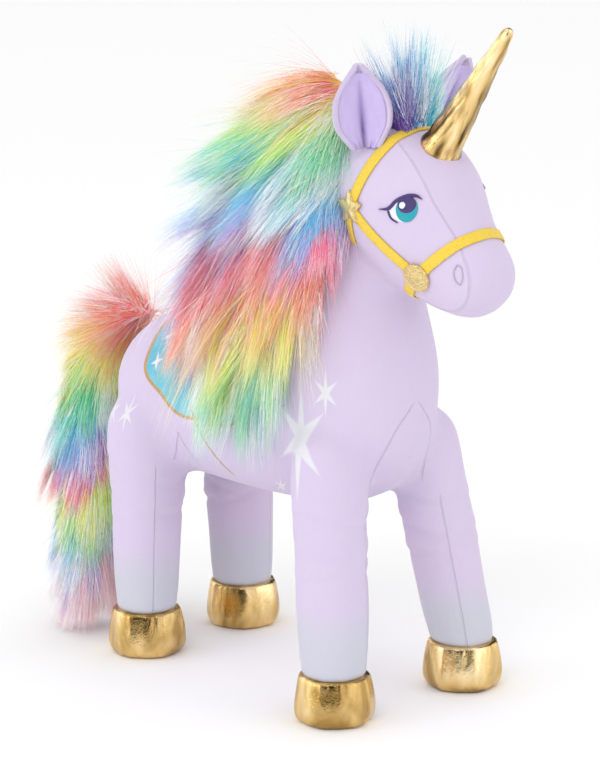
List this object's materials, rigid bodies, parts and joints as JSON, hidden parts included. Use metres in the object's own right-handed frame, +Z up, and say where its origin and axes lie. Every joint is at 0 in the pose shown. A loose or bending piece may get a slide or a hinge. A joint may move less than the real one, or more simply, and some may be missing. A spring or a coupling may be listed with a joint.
{
  "type": "plush unicorn",
  "caption": "Standing soft-toy unicorn with stuffed skin panels, foil hooves and horn, long-pile mane and tail, and a ribbon halter; head, ears, horn, legs and tail move.",
  "frame": {"origin": "on the floor under the middle of the bounding box", "axes": "+Z up, the unicorn faces -Y, +X is its left side"},
  "size_m": [0.1492, 0.3652, 0.4129],
  "materials": {
    "lilac_plush": "short-pile velour, matt",
    "fibrefill": "loose polyester stuffing",
    "gold_foil": "crinkled metallised knit",
    "gold_trim": "glitter",
    "yellow_ribbon": "woven grosgrain",
    "white_thread": "satin-stitch embroidery",
    "teal_thread": "satin-stitch embroidery",
    "lilac_thread": "satin-stitch embroidery",
    "inner_lilac": "short-pile velour, matt",
    "rainbow_fur": "long-pile faux fur",
    "fur_backing": "knitted backing"
  },
  "bodies": {
    "torso": {"side_panel_right": "lilac_plush", "side_panel_left": "lilac_plush", "belly_gusset": "lilac_plush", "body_stuffing": "fibrefill", "mane_fur": "rainbow_fur", "mane_backing": "fur_backing"},
    "head": {"head_side_right": "lilac_plush", "head_side_left": "lilac_plush", "head_gusset": "lilac_plush", "head_stuffing": "fibrefill", "crown_band": "yellow_ribbon", "noseband": "yellow_ribbon", "cheek_strap_right": "yellow_ribbon", "cheek_strap_left": "yellow_ribbon", "throat_strap_right": "yellow_ribbon", "throat_strap_left": "yellow_ribbon", "medallion_right": "gold_trim", "medallion_left": "gold_trim", "side_star_right": "gold_trim", "side_star_left": "gold_trim", "eye_patch_right": "white_thread", "eye_patch_left": "white_thread", "eye_iris_right": "teal_thread", "eye_iris_left": "teal_thread", "nostril_right": "lilac_thread", "nostril_left": "lilac_thread", "forelock_fur": "rainbow_fur"},
    "ear_right": {"ear_outer_right": "lilac_plush", "ear_lining_right": "inner_lilac"},
    "ear_left": {"ear_outer_left": "lilac_plush", "ear_lining_left": "inner_lilac"},
    "horn": {"horn_cover": "gold_foil", "horn_stuffing": "fibrefill"},
    "leg_front_right": {"leg_skin_front_right": "lilac_plush", "leg_stuffing_front_right": "fibrefill", "hoof_cover_front_right": "gold_foil", "hoof_sole_front_right": "gold_foil"},
    "leg_front_left": {"leg_skin_front_left": "lilac_plush", "leg_stuffing_front_left": "fibrefill", "hoof_cover_front_left": "gold_foil", "hoof_sole_front_left": "gold_foil"},
    "leg_hind_right": {"leg_skin_hind_right": "lilac_plush", "leg_stuffing_hind_right": "fibrefill", "hoof_cover_hind_right": "gold_foil", "hoof_sole_hind_right": "gold_foil"},
    "leg_hind_left": {"leg_skin_hind_left": "lilac_plush", "leg_stuffing_hind_left": "fibrefill", "hoof_cover_hind_left": "gold_foil", "hoof_sole_hind_left": "gold_foil"},
    "tail_root": {"tail_dock": "lilac_plush"},
    "tail": {"tail_fur": "rainbow_fur", "tail_backing": "fur_backing"}
  },
  "joints": [
    {"name": "head_nod", "type": "hinge", "parent": "torso", "child": "head", "pos_m": [0, -0.088, 0.3], "axis": [1, 0, 0], "range_deg": [-7, 7], "stiffness_Nm_per_rad": 2.5},
    {"name": "ear_right_flop", "type": "hinge", "parent": "head", "child": "ear_right", "pos_m": [-0.0325, -0.0962, 0.338], "axis": [0.7821, -0.6157, 0.096], "range_deg": [-25, 12], "stiffness_Nm_per_rad": 0.02},
    {"name": "ear_left_flop", "type": "hinge", "parent": "head", "child": "ear_left", "pos_m": [0.0325, -0.0962, 0.338], "axis": [0.7199, 0.6157, -0.3205], "range_deg": [-25, 12], "stiffness_Nm_per_rad": 0.02},
    {"name": "horn_tilt", "type": "hinge", "parent": "head", "child": "horn", "pos_m": [0, -0.1315, 0.341], "axis": [1, 0, 0], "range_deg": [-5, 5], "stiffness_Nm_per_rad": 0.3},
    {"name": "leg_front_right_swing", "type": "hinge", "parent": "torso", "child": "leg_front_right", "pos_m": [-0.0385, -0.0765, 0.15], "axis": [1, 0, 0], "range_deg": [-10, 10], "stiffness_Nm_per_rad": 1.5},
    {"name": "leg_front_left_swing", "type": "hinge", "parent": "torso", "child": "leg_front_left", "pos_m": [0.0385, -0.078, 0.15], "axis": [1, 0, 0], "range_deg": [-10, 10], "stiffness_Nm_per_rad": 1.5},
    {"name": "leg_hind_right_swing", "type": "hinge", "parent": "torso", "child": "leg_hind_right", "pos_m": [-0.038, 0.086, 0.142], "axis": [1, 0, 0], "range_deg": [-10, 4], "stiffness_Nm_per_rad": 1.5},
    {"name": "leg_hind_left_swing", "type": "hinge", "parent": "torso", "child": "leg_hind_left", "pos_m": [0.038, 0.088, 0.142], "axis": [1, 0, 0], "range_deg": [-10, 4], "stiffness_Nm_per_rad": 1.5},
    {"name": "tail_lift", "type": "hinge", "parent": "torso", "child": "tail_root", "pos_m": [0, 0.117, 0.204], "axis": [1, 0, 0], "range_deg": [0, 45]},
    {"name": "tail_sway", "type": "hinge", "parent": "tail_root", "child": "tail", "pos_m": [0, 0.117, 0.204], "axis": [0, 1, 0], "range_deg": [-20, 20]}
  ]
}
